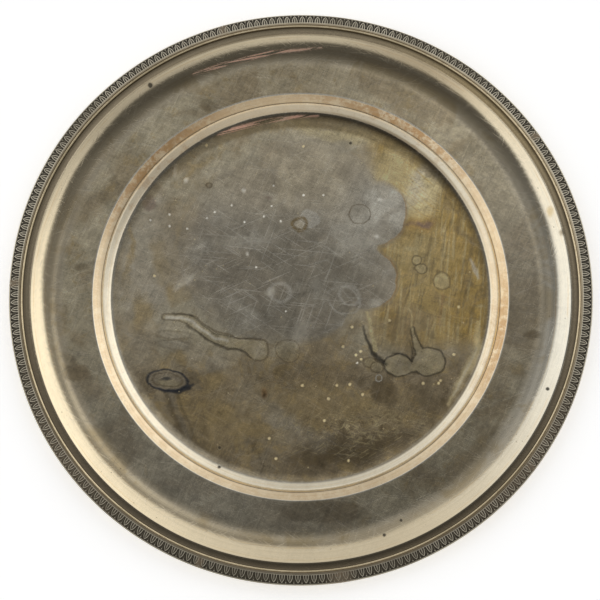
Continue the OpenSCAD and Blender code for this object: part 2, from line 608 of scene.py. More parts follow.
    def streak(self, place, start, end, width0, width1):
        """A round-ended line that goes from one half-width to another."""
        span = math.dist(start, end)
        turn = math.degrees(math.atan2(end[1] - start[1], end[0] - start[0]))
        along, across = self.local(place, start, turn, (1, 1))
        share = self.math("MINIMUM", self.math("MAXIMUM", self.times(along, 1 / span), 0.0), 1.0)
        beyond = self.line(share, -span, along)
        return self.line(share, width0 - width1, self.line(self.length(beyond, across), 1, -width0))

    def path(self, place, points, blend):
        """A streak through points of (x, y, half-width)."""
        return self.union(
            [self.streak(place, a[:2], b[:2], a[2], b[2]) for a, b in zip(points, points[1:])],
            blend,
        )

    def stroke(self, place, points, blend, soft):
        return self.inside(self.path(place, points, blend), soft)

    def dots(self, place, centres, radius, soft):
        nearest = None
        for centre in centres:
            u, v = (self.math("SUBTRACT", a, b) for a, b in zip(place, centre))
            square = self.math("MULTIPLY_ADD", u, u, self.times(v, v))
            nearest = square if nearest is None else self.math("MINIMUM", nearest, square)
        return self.inside(self.math("SUBTRACT", self.math("SQRT", nearest), radius), soft)

    def union(self, shapes, blend):
        joined = shapes[0]
        for shape in shapes[1:]:
            joined = self.math("SMOOTH_MIN", joined, shape, blend)
        return joined

    def inside(self, shape, soft):
        return self.step(shape, soft, -soft)

    def outline(self, shape, width, at=0.0):
        """1 where the shape's distance is at, and 0 from width away."""
        return self.step(self.math("ABSOLUTE", self.math("SUBTRACT", shape, at)), width, 0.0)


class Coat:
    """A colour and a roughness that layers are painted over."""

    def __init__(self, graph, colour, roughness):
        self.graph = graph
        self.colour = (*colour, 1)
        self.roughness = roughness

    def shade(self, value):
        """Lightens or darkens the coat by a number about 1."""
        inputs = {"Value": value, "Color": self.colour}
        self.colour = self.graph.add("ShaderNodeHueSaturation", inputs)

    def paint(self, mask, colour, amount=1.0, roughness=None):
        if amount != 1.0:
            mask = self.graph.times(mask, amount)
        self.colour = self.graph.blend(mask, self.colour, (*colour, 1))
        if roughness is not None:
            self.roughness = self.graph.blend_numbers(mask, self.roughness, roughness)


class Zone:
    """A part of the surface. What is painted through it stays inside its mask."""

    def __init__(self, coat, mask):
        self.coat = coat
        self.mask = mask

    def fill(self, *layer):
        """Paints the whole zone."""
        self.coat.paint(self.mask, *layer)

    def paint(self, mask, *layer):
        """Paints where a mask, or every mask of a tuple, meets the zone."""
        masks = mask if isinstance(mask, tuple) else (mask,)
        self.coat.paint(self.coat.graph.times(self.mask, *masks), *layer)


def metal(name, build):
    """A metal material. build gives its coat, its height and the height's depth."""
    material = bpy.data.materials.new(name)
    material.use_nodes = True
    g = Graph(material.node_tree)
    g.spot = g.add("ShaderNodeTexCoord", {}, "Object")
    split = g.add("ShaderNodeSeparateXYZ", {"Vector": g.spot}).node
    x = g.times(split.outputs[0], 1 / MM)
    y = g.times(split.outputs[1], 1 / MM)
    coat, height, depth = build(g, (x, y))
    bump = g.add("ShaderNodeBump", {"Height": height, "Distance": depth})
    inputs = {
        "Base Color": coat.colour,
        "Metallic": 1.0,
        "Roughness": coat.roughness,
        "Normal": bump,
    }
    shader = g.add("ShaderNodeBsdfPrincipled", inputs)
    g.add("ShaderNodeOutputMaterial", {"Surface": shader})
    return material


# ---------------------------------------------------------------- silver and its tarnish

CLEAN = (0.92, 0.87, 0.73)
CREAM = (0.95, 0.85, 0.65)
GOLDEN = (0.95, 0.8, 0.54)
TAN = (0.88, 0.67, 0.4)
PATCH = (0.58, 0.53, 0.43)
GREY = (0.76, 0.66, 0.44)
DULL = (0.47, 0.41, 0.31)
BROWN = (0.51, 0.4, 0.245)
OCHRE = (0.7, 0.53, 0.265)
DARK = (0.24, 0.18, 0.1)
OLIVE = (0.78, 0.53, 0.165)
YELLOW = (0.98, 0.82, 0.46)
WARM = (0.87, 0.74, 0.5)
ORANGE = (0.58, 0.345, 0.15)
MAUVE = (0.4, 0.28, 0.22)
SPILL = (0.59, 0.5, 0.31)
COPPER = (0.96, 0.56, 0.42)
UMBER = (0.36, 0.27, 0.14)
SLATE = (0.34, 0.3, 0.225)
HAZE = (0.85, 0.78, 0.62)
BLUE_BLACK = (0.07, 0.075, 0.085)
SOOT_AND_SHADE = (0.05, 0.045, 0.035)
SPECK_AND_HIGHLIGHT = (0.97, 0.94, 0.84)
BORDER_BLACK = (0.062, 0.056, 0.044)
BORDER_GREY = (0.24, 0.215, 0.165)
BORDER_SILVER = (0.68, 0.62, 0.49)
BORDER_BROWN = (0.15, 0.125, 0.085)
BORDER_SHADE = (0.11, 0.095, 0.065)
DRIED_POLISH = (0.26, 0.19, 0.12)


# The section's radii in millimetres, for the painters
FLOOR, FOOT, SCORE, MARLY, COVE, ARRIS, REED, LEAF = (
    value / MM for value in (FLOOR_R, FOOT_R, SCORE_R, MARLY_R, COVE_R, ARRIS_R, REED_R, LEAF_R)
)


def paint_rim(g, coat, r, cloud, mottle, fleck):
    """The marly's film, the cleaner slopes on either side of it, and their brown stains."""
    streaks = g.rings(g.line(cloud, 3.0, r), 0.8)
    marly = Zone(coat, g.times(g.step(r, MARLY - 0.4, MARLY + 1), g.step(r, COVE + 6, COVE - 2)))
    marly.fill(GREY, 0.85, 0.18)
    marly.paint(g.towards(45, 40), WARM, 0.42)
    marly.paint(g.step(cloud, 0.46, 0.6), BROWN, 0.66)
    marly.paint(g.step(mottle, 0.54, 0.68), OCHRE, 0.55)
    marly.paint(g.step(mottle, 0.46, 0.34), DULL, 0.36)
    marly.paint(g.towards(92, 34), BROWN, 0.4)
    marly.paint(g.towards(8, 42), DULL, 0.62)
    marly.paint(g.towards(-112, 62), HAZE, 0.55)

    ring = g.times(g.step(r, FOOT + 0.1, FOOT + 1.3), g.step(r, MARLY + 0.5, MARLY - 0.1))
    slope = Zone(coat, ring)
    upper = Zone(coat, g.times(ring, g.step(r, SCORE - 0.1, SCORE + 0.7)))
    upper.fill(TAN, 0.6)
    slope.paint(g.towards(110, 70), TAN, 0.5)
    slope.paint(g.towards(0, 40), TAN, 0.55)
    slope.paint((g.step(streaks, 0.5, 0.66), g.step(fleck, 0.32, 0.56)), TAN, 0.75)
    stained = g.math("MAXIMUM", g.towards(136, 42), g.towards(60, 44))
    stained = g.math("MAXIMUM", stained, g.times(g.towards(-12, 34), 0.85))
    stained = g.math("MAXIMUM", stained, 0.2)
    upper.paint((stained, g.step(fleck, 0.38, 0.56)), ORANGE, 0.9)
    slope.paint((stained, g.step(mottle, 0.48, 0.62)), ORANGE, 0.4)
    coat.paint(g.outline(r, 0.42, SCORE + 0.3), DARK, 0.6)
    # A bright line along the marly's inner edge: rubbed wear and a painted highlight of the edge.
    coat.paint(g.outline(r, 0.66, MARLY + 0.1), CLEAN, 0.95, 0.2)

    cove = Zone(coat, g.times(g.step(r, COVE - 2, COVE + 6), g.step(r, ARRIS + 1, ARRIS + 0.4)))
    cove.fill(GOLDEN, 0.92, 0.11)
    cove.paint(g.towards(-8, 62), CLEAN, 0.95)
    cove.paint((g.step(streaks, 0.5, 0.68), g.step(cloud, 0.4, 0.6)), TAN, 0.6)
    cove.paint((g.towards(62, 22), g.step(r, ARRIS - 6, ARRIS - 4)), BROWN, 0.6)
    cove.paint((g.step(cloud, 0.5, 0.62), g.step(r, ARRIS - 6, COVE + 5)), OCHRE, 0.55)

    ledge = Zone(coat, g.times(g.step(r, ARRIS + 0.4, ARRIS + 0.9), g.step(r, REED + 0.4, REED)))
    ledge.fill(BROWN, 0.84, 0.15)
    ledge.paint(g.step(r, ARRIS + 1.6, REED - 1), DARK, 0.3)
    ledge.paint(g.towards(-68, 62), DARK, 0.3)
    # Painted shade over the arris towards 105 degrees, damping its bright edge on that side.
    coat.paint(g.times(g.outline(r, 1.2, ARRIS + 0.6), g.towards(105, 56)), DARK, 0.7)
    ledge.paint(g.towards(45, 40), OCHRE, 0.6)
    ledge.paint((g.step(streaks, 0.52, 0.66), g.step(fleck, 0.4, 0.6)), DARK, 0.5)
    # Dirt and painted shade along the reed's foot.
    ledge.paint(g.step(r, REED - 0.7, REED + 0.1), SOOT_AND_SHADE, 0.7)
    coat.paint(g.step(r, LEAF - 0.3, LEAF + 0.1), DARK, 0.6)
    return marly.mask


def paint_film(g, coat, place, loose, well, cloud, mottle):
    """The well's film: grey all over, brown at the bottom, and gold and olive on the right."""
    blotch = g.noise(0.05, 5.0, 0.62, warp=1.2)
    well.fill(GREY, 0.8, 0.25)
    well.paint(g.step(cloud, 0.42, 0.6), BROWN, 0.75)
    well.paint(g.step(mottle, 0.52, 0.68), OCHRE, 0.55)

    south = Zone(coat, g.times(well.mask, g.step(place[1], -20, -48)))
    south.fill(BROWN, 0.78)
    south.paint(g.step(blotch, 0.46, 0.36), OCHRE, 0.8)
    south.paint(g.step(blotch, 0.52, 0.61), DARK, 0.42)
    south.paint(g.step(mottle, 0.51, 0.64), OCHRE, 0.68)
    south.paint(g.step(mottle, 0.46, 0.32), DARK, 0.58)

    corner = g.times(well.mask, g.step(place[0], 33, 48), g.step(place[1], -34, -20))
    east = Zone(coat, corner)
    east.fill(OLIVE, 0.88)
    east.paint(g.pool(loose, (63, 34), (14, 42), 8, 12), YELLOW, 0.5)
    east.paint(g.step(blotch, 0.5, 0.62), BROWN, 0.45)
    east.paint(g.step(mottle, 0.46, 0.34), UMBER, 0.42)
    east.paint(g.step(g.brushed(84, (24, 1.7)), 0.5, 0.64), YELLOW, 0.55)
    east.paint(g.step(g.brushed(79, (17, 2.0), (40, 9)), 0.52, 0.66), UMBER, 0.46)


def paint_stains(g, coat, place, loose, well):
    """The well's larger stains, its pale left side and the polished gold at the upper right."""
    # Centre, radii, turn in degrees, softness, colour and strength
    stains = (
        ((20, -62), (46, 11), -6, 9, OCHRE, 0.55),
        ((-45, -70), (22, 14), -20, 8, OCHRE, 0.55),
        ((28, -86), (32, 8), 10, 5, DARK, 0.84),
        ((74, -62), (13, 12), 0, 6, DARK, 0.4),
        ((43, -53), (7, 8), 10, 4, DARK, 0.72),
        ((-88, 22), (15, 48), 0, 10, HAZE, 0.62),
        ((-12, -67), (12, 6), -25, 4, HAZE, 0.42),
        ((-2, -79), (15, 5), -8, 4, HAZE, 0.32),
        ((-22, -76), (13, 5), -12, 3, OCHRE, 0.82),
        ((-40, -66), (7, 5), 30, 3, OCHRE, 0.8),
        ((-51, -48), (7, 4), 20, 3, OCHRE, 0.8),
        ((-62.5, -61), (4.6, 7), 8, 2, OCHRE, 0.92),
        ((-68, -36), (6, 3), 0, 2.5, OCHRE, 0.75),
        ((-87, -11), (5, 9), 10, 3, OCHRE, 0.7),
        ((-47, -37), (8, 5), -20, 4, HAZE, 0.3),
        ((-28, -54), (9, 5), 10, 4, HAZE, 0.22),
        ((-2, -44), (26, 9), 6, 6, DARK, 0.36),
        ((58, -17), (15, 9), 0, 6, BROWN, 0.5),
        ((-66, -29), (10, 4), -6, 3, DULL, 0.45),
        ((-55.5, 75), (2.6, 8), -28, 2.5, OCHRE, 0.6),
        ((-61, 49), (4, 6), 0, 3, OCHRE, 0.5),
        ((-68, 36), (2, 7), -12, 2.5, OCHRE, 0.62),
        ((-96, 26), (1.8, 15), 3, 2, OCHRE, 0.75),
        ((-78, 20), (3.4, 9), 6, 3, OCHRE, 0.52),
        ((-69, 4), (3.6, 6), -20, 3, OCHRE, 0.58),
        ((-61, 0), (6, 3), 10, 2.5, OCHRE, 0.5),
        ((50, 72), (9, 13), -30, 5, YELLOW, 0.72),
        ((67, 61), (10, 29), -38, 6, YELLOW, 0.97),
        ((68, 66), (4.0, 17), -38, 4, CREAM, 0.7),
        ((20, 93), (27, 4.5), -8, 2.5, YELLOW, 0.75),
        ((66, 38), (12, 7), 20, 5, OLIVE, 0.55),
        ((67, 38), (7, 4.5), 20, 4, ORANGE, 0.45),
        ((67.2, 38.7), (3.4, 2), 0, 1.5, MAUVE, 0.8),
    )
    for centre, radii, angle, soft, colour, amount in stains:
        well.paint(g.pool(loose, centre, radii, angle, soft), colour, amount)
    brush = g.step(g.brushed(-42, (26, 1.4), (13, 71)), 0.5, 0.68)
    north_east = g.pool(loose, (66, 60), (14, 30), -38, 8)
    polished = Zone(coat, g.times(well.mask, north_east))
    coat.roughness = g.blend_numbers(polished.mask, coat.roughness, 0.13)
    polished.paint(brush, OLIVE, 0.42)
    edge_stain = [(82, 54, 1.6), (90, 40, 1.4), (94, 24, 1.8), (93, 8, 1.0)]
    coat.paint(g.stroke(loose, edge_stain, 3.0, 2.5), UMBER, 0.65)
    wedge = [(94, 20, 0.5), (96.6, 13.5, 1.3), (98.4, 9, 0.4)]
    coat.paint(g.stroke(place, wedge, 0.6, 0.9), CREAM, 0.75)


def paint_crust(g, place, loose, well):
    """Crusted yellow film at the bottom of the well."""
    crusted = g.pool(loose, (30, -73), (32, 9), 6, 7)
    crumbs = g.noise(0.33, 5.0, 0.68, warp=0.8)
    well.paint((crusted, g.step(crumbs, 0.53, 0.62)), YELLOW, 0.5)
    well.paint((crusted, g.step(crumbs, 0.47, 0.38)), DARK, 0.6)
    for angle, shift in ((32, (5, 2)), (-14, (61, 33))):
        strands = g.step(g.brushed(angle, (12, 0.9), shift), 0.6, 0.68)
        bottom = g.pool(place, (28, -76), (46, 16), 4, 8)
        well.paint((bottom, strands), YELLOW, 0.38)


def paint_patch(g, coat, place, edge, well, haze, mottle):
    """The cleaner patch: sharp and scalloped on its right, and soft elsewhere."""
    shape = g.union([
        g.oval(edge, (-12, 26), (54, 50)),
        g.oval(edge, (4, 52), (38, 36)),
        g.oval(edge, (43, 46), (15.5, 17)),
        g.oval(edge, (36, 9), (17.5, 17)),
        g.oval(edge, (0, -6), (28, 19)),
    ], 3.0)
    away = g.math("MAXIMUM", g.step(place[0], 24, -30), g.step(place[1], 56, 84))
    softness = g.line(away, 13.0, 0.7)
    mask = g.times(well.mask, g.step(g.math("DIVIDE", shape, softness), 1.0, -1.0))
    coat.paint(g.times(g.outline(shape, 1.7, 0.9), well.mask), DULL, 0.4)
    patch = Zone(coat, mask)
    patch.fill(PATCH, 0.9, 0.26)
    patch.paint(g.pool(place, (-4, 74), (54, 24), 0, 18), WARM, 0.6)
    patch.paint(g.pool(place, (-8, 5), (47, 39), 0, 14), SLATE, 0.64)
    patch.paint(g.pool(place, (46, 52), (17, 20), -20, 13), CLEAN, 0.95)
    patch.paint(g.step(haze, 0.46, 0.62), DULL, 0.55)
    patch.paint(g.step(haze, 0.46, 0.32), CLEAN, 0.3)
    patch.paint(g.step(mottle, 0.54, 0.68), DULL, 0.35)
    patch.paint(g.step(mottle, 0.44, 0.3), CLEAN, 0.16)
    rust = g.times(g.outline(shape, 0.7, 0.3), g.step(place[0], 44, 48), g.step(place[1], 62, 52))
    coat.paint(rust, ORANGE, 0.55)
    # Centre, radii, turn in degrees, softness and strength
    smudges = (
        ((-16, 2.4), (3.0, 2.2), 10, 1.6, 0.46),
        ((-68, 5), (3.0, 1.4), 50, 1.2, 0.42),
        ((-62, 9), (4.6, 1.2), 42, 1.2, 0.32),
        ((-30, 30), (15, 3.4), 6, 4.0, 0.26),
        ((-64, 9), (5.0, 3.2), 20, 2.5, 0.3),
        ((30, 28), (16, 4.0), 10, 5.0, 0.22),
        ((41, -4), (3.0, 2.4), 0, 1.6, 0.38),
        ((0, -21), (4.0, 8.0), -20, 3.5, 0.3),
    )
    for centre, radii, angle, soft, amount in smudges:
        coat.paint(g.pool(edge, centre, radii, angle, soft), CLEAN, amount, 0.4)
    for centre, radii, width in (
        ((27, 0), (6.5, 5.0), 1.3), ((24, -3), (9.5, 7.5), 1.0), ((-10.8, 1.6), (6.2, 4.6), 1.7),
    ):
        swirl = g.outline(g.oval(edge, centre, radii, -30), width)
        coat.paint(g.times(swirl, g.step(haze, 0.36, 0.46)), SPECK_AND_HIGHLIGHT, 0.26, 0.35)
    return mask


def paint_strokes(g, coat, place, strokes):
    """Each stroke has its blend, softness, points of (x, y, half-width), and how it is painted."""
    for blend, soft, points, *layer in strokes:
        coat.paint(g.stroke(place, points, blend, soft), *layer)


def paint_spots(g, coat, place, spots):
    """Each spot has its centre, its radii, and how it is painted."""
    for centre, radii, *layer in spots:
        coat.paint(g.pool(place, centre, radii, 0, 1.1), *layer)


def paint_drip(g, coat, edge):
    """The long drip on the left, with its dark rim, painted shadows along its edges and a painted
    highlight along its ridge.
    """
    drip = g.path(edge, [
        (-75, -11.5, 1.2), (-66, -12, 1.6), (-59, -15, 2.2), (-51, -21.5, 2.8), (-39, -26, 3.2),
        (-30, -28, 3.4), (-22.6, -30.8, 5.2),
    ], 2.0)
    coat.paint(g.inside(drip, 0.7), SPILL, 0.66, 0.3)
    coat.paint(g.outline(drip, 0.9, 0.3), DARK, 0.6)
    paint_strokes(g, coat, edge, (
        # Painted shadow along the drip's lower edge
        (0.6, 0.7, [
            (-62, -17, 0.4), (-52.5, -24.5, 0.8), (-42, -29, 0.9), (-33, -31, 0.8), (-27, -34.5, 0.5),
        ], SOOT_AND_SHADE, 0.5),
        # Painted shadow along its upper edge
        (0.4, 0.6, [
            (-71, -9.4, 0.3), (-61, -11.2, 0.5), (-54, -16.6, 0.5), (-48, -20.8, 0.4),
            (-40, -22.8, 0.4), (-22, -24.8, 0.3),
        ], SOOT_AND_SHADE, 0.55),
        # Painted highlight along its ridge
        (0.5, 0.8, [
            (-73.6, -12, 0.9), (-65.7, -12.2, 0.9), (-59.9, -14.8, 0.6), (-54.6, -19.4, 0.6),
            (-47, -23.6, 0.7), (-40, -25.6, 0.5),
        ], SPECK_AND_HIGHLIGHT, 0.5, 0.42),
    ))
    coat.paint(g.pool(edge, (-22.6, -31), (3.4, 3.2), 0, 2.2), CREAM, 0.34)


def paint_spill(g, coat, edge, mottle):
    """The double spill on the right, with the runs, threads and crack about it."""
    amoeba = g.union([
        g.oval(edge, (70.5, -37.3), (8.6, 7.7)),
        g.oval(edge, (53.6, -39.4), (7.4, 5.9)),
        g.oval(edge, (61, -40.3), (5.0, 2.6)),
        g.path(edge, [(65, -31, 2.4), (62.6, -25, 1.2), (61.5, -19, 0.6)], 1.0),
    ], 1.6)
    coat.paint(g.inside(amoeba, 0.6), SPILL, 0.8, 0.3)
    coat.paint(g.times(g.inside(amoeba, 0.6), g.step(mottle, 0.5, 0.66)), DULL, 0.5)
    coat.paint(g.outline(amoeba, 0.9, 0.2), SOOT_AND_SHADE, 0.66)
    paint_strokes(g, coat, edge, (
        (0.3, 0.7, [
            (60, -26, 0.3), (61.2, -31, 0.5), (61.2, -37, 0.5), (57.5, -34.4, 0.5), (50, -32.8, 0.4),
        ], SOOT_AND_SHADE, 0.66),
        (0.3, 0.7, [(61.3, -20, 0.5), (60, -8, 0.3)], YELLOW, 0.6),
    ))
    for centre, radii in (((38.2, -38.2), (3.6, 2.7)), ((42.2, -41), (3.4, 2.8))):
        neighbour = g.oval(edge, centre, radii)
        coat.paint(g.inside(neighbour, 0.8), SPILL, 0.6)
        coat.paint(g.outline(neighbour, 0.8, 0.2), DARK, 0.6)
    paint_strokes(g, coat, edge, (
        (0.8, 0.9, [
            (34, -18, 0.4), (36.8, -26, 0.8), (39.6, -32, 1.5), (43, -36, 1.6), (47, -39, 0.7),
        ], SOOT_AND_SHADE, 0.84),
        (0.5, 0.7, [
            (36.2, -10, 0.6), (37.7, -16.6, 0.9), (39.8, -23, 0.9), (41, -30, 1.7),
        ], YELLOW, 0.8),
        (1.0, 1.5, [(45.4, -14, 0.4), (46, -24, 1.1), (50, -31, 1.5)], SPILL, 0.45),
        (2.0, 1.8, [
            (80.5, -61, 0.6), (86, -50, 1.5), (92, -41, 2.4), (97, -29, 1.9), (96.5, -17, 0.9),
        ], YELLOW, 0.62, 0.42),
        (0.5, 0.8, [(83, -56, 0.4), (91, -42, 0.6), (96, -30, 0.4)], CLEAN, 0.4),
        (1.0, 0.9, [(78, -1, 0.9), (77, -17, 0.5)], ORANGE, 0.45),
    ))


def paint_eye(g, coat, edge):
    """The eye-shaped stain at the lower left, its tail and the two blots above it."""
    for sway, width, colour in ((-1.5, 1.2, DARK), (1.0, 1.6, DULL), (4.5, 0.8, DARK)):
        tail = [
            (-71.5 + sway, -55, width), (-67.5 + sway, -67, width), (-61.5 + sway, -80, 0.5 * width),
        ]
        coat.paint(g.stroke(edge, tail, 1.0, 1.0), colour, 0.46)
    eye = (-72.5, -47.6)
    coat.paint(g.pool(edge, eye, (11.2, 5.8), -8, 0.8), DULL, 0.55)
    coat.paint(g.outline(g.oval(edge, eye, (11.2, 5.8), -8), 0.9), BLUE_BLACK, 0.9)
    lid = [
        (-79, -51.6, 0.4), (-73.6, -53.8, 0.8), (-66, -53.6, 1.5), (-61, -51.2, 1.4),
        (-58.6, -49.4, 0.4),
    ]
    coat.paint(g.stroke(edge, lid, 0.8, 0.8), BLUE_BLACK, 0.9)
    coat.paint(g.pool(edge, (-71.5, -49.4), (6.6, 2.6), -8, 0.9), SPILL, 0.7)
    coat.paint(g.outline(g.oval(edge, eye, (8.2, 3.8), -8), 0.6), DARK, 0.55)
    coat.paint(g.pool(edge, (-73.4, -47.4), (2.8, 1.1), 6, 0.7), BLUE_BLACK, 0.8)
    for height in (-22.4, -28.0):
        blot = g.oval(edge, (-69.5, height), (8.5, 2.2), -5)
        coat.paint(g.inside(blot, 1.2), HAZE, 0.26)
        coat.paint(g.outline(blot, 0.8, 0.3), DARK, 0.32)


def paint_marks(g, coat, edge, fine):
    """Rings left by drops, faint spots, pale flecks and dark pits."""
    # Centre, radii, colour, strengths of the rim and the inside, and the rim's width
    rings = (
        ((4.8, 43.6), (5.4, 4.8), SPECK_AND_HIGHLIGHT, 0.22, 0.34, 0.7),
        ((-0.5, 40.2), (3.3, 3.5), UMBER, 0.92, 0.3, 1.5),
        ((-0.5, 40.2), (1.7, 1.9), CREAM, 0.3, 0.55, 0.5),
        ((33.3, 46.0), (5.7, 5.6), DARK, 0.58, 0.0, 0.6),
        ((33.3, 46.0), (4.6, 4.5), HAZE, 0.1, 0.24, 0.6),
        ((77.8, 8.0), (3.9, 5.3), YELLOW, 0.1, 0.62, 0.6),
        ((77.8, 8.0), (4.2, 5.6), DARK, 0.48, 0.0, 0.7),
        ((63.9, 19.4), (1.8, 2.5), YELLOW, 0.2, 0.55, 0.6),
        ((66.2, 14.6), (2.6, 2.3), YELLOW, 0.2, 0.62, 0.6),
        ((63.9, 19.4), (2.2, 2.9), DARK, 0.6, 0.0, 0.6),
        ((66.2, 14.6), (3.0, 2.7), DARK, 0.6, 0.0, 0.6),
        ((60.8, 26.0), (3.4, 1.0), YELLOW, 0.2, 0.6, 0.6),
        ((-80.5, 1.0), (7.4, 5.6), HAZE, 0.1, 0.34, 0.8),
        ((-6.8, -31.4), (6.3, 6.3), DARK, 0.46, 0.0, 0.7),
        ((-51.2, 62.6), (1.4, 1.4), DARK, 0.75, 0.3, 0.6),
        ((43, -47), (1.6, 1.6), SPECK_AND_HIGHLIGHT, 0.7, 0.0, 0.5),
    )
    for centre, radii, colour, rim, fill, width in rings:
        ring = g.oval(edge, centre, radii)
        if fill:
            coat.paint(g.inside(ring, 0.6), colour, fill)
        coat.paint(g.outline(ring, width), colour, rim)

    paint_spots(g, coat, edge, (
        ((-7, -31.4), (5.6, 5.6), SPILL, 0.4),
        ((-84, 52.5), (3.2, 4.2), MAUVE, 0.6),
        ((73.7, 70), (4.4, 3.8), DULL, 0.5),
        ((82.2, 51), (1.8, 4.6), OCHRE, 0.75),
        ((-17.6, 57.4), (3.4, 1.0), HAZE, 0.5),
        ((-15, 55), (1.6, 0.9), HAZE, 0.55),
        ((-17.4, 56), (1.3, 0.8), MAUVE, 0.55),
        ((-19.9, -54.8), (1.3, 2.9), ORANGE, 0.8),
        ((-19.9, -55.6), (0.7, 1.8), SOOT_AND_SHADE, 0.8),
        ((-70, 71.6), (1.0, 2.6), SPECK_AND_HIGHLIGHT, 0.34, 0.6),
        ((-63.2, 66.2), (1.0, 1.2), SPECK_AND_HIGHLIGHT, 0.6, 0.6),
        ((-31.5, 60.3), (0.7, 0.8), SPECK_AND_HIGHLIGHT, 0.7, 0.6),
        ((-29.4, 23.6), (0.7, 0.8), SPECK_AND_HIGHLIGHT, 0.7, 0.6),
        ((44, 54.2), (0.9, 0.7), SPECK_AND_HIGHLIGHT, 0.8, 0.6),
        ((42.2, 33.2), (0.9, 0.8), SPECK_AND_HIGHLIGHT, 0.6, 0.6),
        ((99, -7), (1.8, 0.9), YELLOW, 0.6),
    ))

    flecks = (
        (-15, 62.6), (-38.3, 51.4), (-47.7, 47.5), (-16, 50.8), (-20.3, 44.9), (-31, 41.7), (-11, 42.1),
        (-52, 44), (-72.7, 39.5), (-63, 38.1), (-83.4, 43), (-73, 46.3), (-24.6, 16), (1.7, 57),
        (12.8, 57), (-8, -9), (31, -38),
    )
    coat.paint(g.dots(fine, flecks, 0.56, 0.35), SPECK_AND_HIGHLIGHT, 0.9, 0.65)
    crumbs = (
        (23.4, -29), (28.4, -18), (33, -31.6), (30.5, -33.6), (33.2, -36), (49, -14.4), (84, -33.5),
        (87, -7), (67, -49.5), (75.5, -49.5), (76.6, -48), (34, -55.6), (20, -50.5), (27, -50),
        (15.3, -58), (13, -70), (1, -50.5), (26, -92), (-17, -79.7), (-13.3, -90.6), (-80.8, 11.2),
        (1.6, 85.4), (-52.7, 86.2),
    )
    coat.paint(g.dots(fine, crumbs, 0.72, 0.4), YELLOW, 0.85, 0.55)
    coat.paint(g.dots(fine, ((28, 87), (-44, -84.6)), 0.95, 0.4), SOOT_AND_SHADE, 0.9, 0.6)


def paint_rim_marks(g, coat, edge, fine):
    """Faint spots and dark pits on the marly, the cove and the slopes."""
    paint_spots(g, coat, edge, (
        ((-121, 16), (3.4, 2.2), DARK, 0.5),
        ((127, -24), (4.6, 2.6), DARK, 0.6),
        ((138, 45), (1.6, 2.6), OCHRE, 0.7),
        ((144, 33), (1.3, 1.6), DARK, 0.7),
        ((-122, -44), (8, 5), BROWN, 0.65),
        ((-52, 108), (5, 4), DARK, 0.45),
        ((12, -120), (24, 6), DARK, 0.4),
    ))
    pits = ((-44, -95.3), (134, -54), (45, -133), (54, -125))
    coat.paint(g.dots(fine, pits, 0.95, 0.4), SOOT_AND_SHADE, 0.9, 0.6)
    coat.paint(g.dots(fine, ((-84, 119),), 1.4, 0.5), SOOT_AND_SHADE, 0.9, 0.6)


def paint_rub(g, coat, place, points):
    """A streak where the silver is rubbed through to the copper."""
    grain = g.step(g.brushed(13, (20, 0.7)), 0.44, 0.54)
    coat.paint(g.times(g.stroke(place, points, 0.4, 1.0), grain), COPPER, 0.84, 0.42)


def paint_foot(g, coat, r):
    """The foot of the bouge, where the bright slope begins, the dark gutter below it, which is painted
    shade darkest towards +Y, and a painted highlight on the lower left.
    """
    slope = g.times(g.step(r, FOOT - 0.7, FOOT + 0.7), g.step(r, MARLY + 0.5, MARLY - 0.1))
    coat.paint(slope, CREAM, 0.92, 0.12)
    # Painted shade in the gutter, wider and darker towards +Y.
    inner = g.line(g.towards(88, 85), -4.8, FLOOR + 1.1)
    start = g.step(g.math("SUBTRACT", r, inner), -1.2, 1.6)
    gutter = g.times(start, g.step(r, FOOT + 0.7, FOOT - 0.7))
    coat.paint(g.times(gutter, g.line(g.towards(85, 115), 0.6, 0.16)), UMBER)
    # A painted highlight on the bouge's foot towards the lower left.
    ring = g.times(g.step(r, FLOOR, FOOT - 2.3), g.step(r, FOOT + 1.7, FOOT - 0.3))
    coat.paint(g.times(ring, g.towards(-128, 48)), CREAM, 0.48)


def paint_crescent_shade(g, coat, r):
    """Painted shade at the foot of the bouge: a dark crescent on the upper right and a dark line
    towards the lower right.
    """
    ring = g.times(g.step(r, FLOOR + 1.7, FOOT - 0.7), g.step(r, SCORE - 2.3, FOOT + 1.1))
    coat.paint(g.times(ring, g.towards(54, 60)), DARK, 0.8)
    coat.paint(g.times(g.outline(r, 0.9, FOOT - 0.2), g.towards(-38, 76)), UMBER, 0.66)


def hairline_scratches(g):
    """Straight scratches scattered in four directions."""
    scratches = g.hairlines(24, (24, 0.75), (0, 0), 0.69)
    others = (
        (-34, (21, 0.7), (17, 9), 0.69),
        (70, (26, 0.8), (34, 18), 0.7),
        (-6, (30, 0.8), (51, 27), 0.7),
    )
    for angle, size, shift, rarity in others:
        scratches = g.math("MAXIMUM", scratches, g.hairlines(angle, size, shift, rarity))
    return scratches


def paint_scratches(g, coat, place, r, patch, scratches):
    """The well's scratches, thickest in the patch, and its yellow specks."""
    rubbed = g.times(patch, g.pool(place, (-14, 10), (56, 30), -8, 16))
    strength = g.line(rubbed, 0.13, g.line(patch, 0.05, 0.08))
    coat.paint(g.times(scratches, strength), SPECK_AND_HIGHLIGHT, 1.0, 0.38)
    strokes = (
        [(-65, 14), (-56, 20), (-49, 17)], [(-56, 11), (-46, 6), (-38, 0)],
        [(-36, 29), (-26, 31), (-16, 30)], [(4, 17), (14, 20), (22, 15)],
        [(23, 3), (28, -3), (36, -6)], [(43, 50), (45, 53)], [(-30, 43), (-33, 39)],
        [(-95, 30), (-92, 14)], [(-92, 52), (-86, 56)],
    )
    for line in strokes:
        points = [(*point, 0.1) for point in line]
        coat.paint(g.stroke(place, points, 0.2, 0.5), SPECK_AND_HIGHLIGHT, 0.34)

    well = g.step(r, FLOOR + 0.5, FLOOR - 2.5)
    pale = g.times(g.specks(5.0, 0.55), g.step(g.noise(0.035, 2.0), 0.5, 0.6), well)
    coat.paint(pale, YELLOW, 0.55, 0.4)


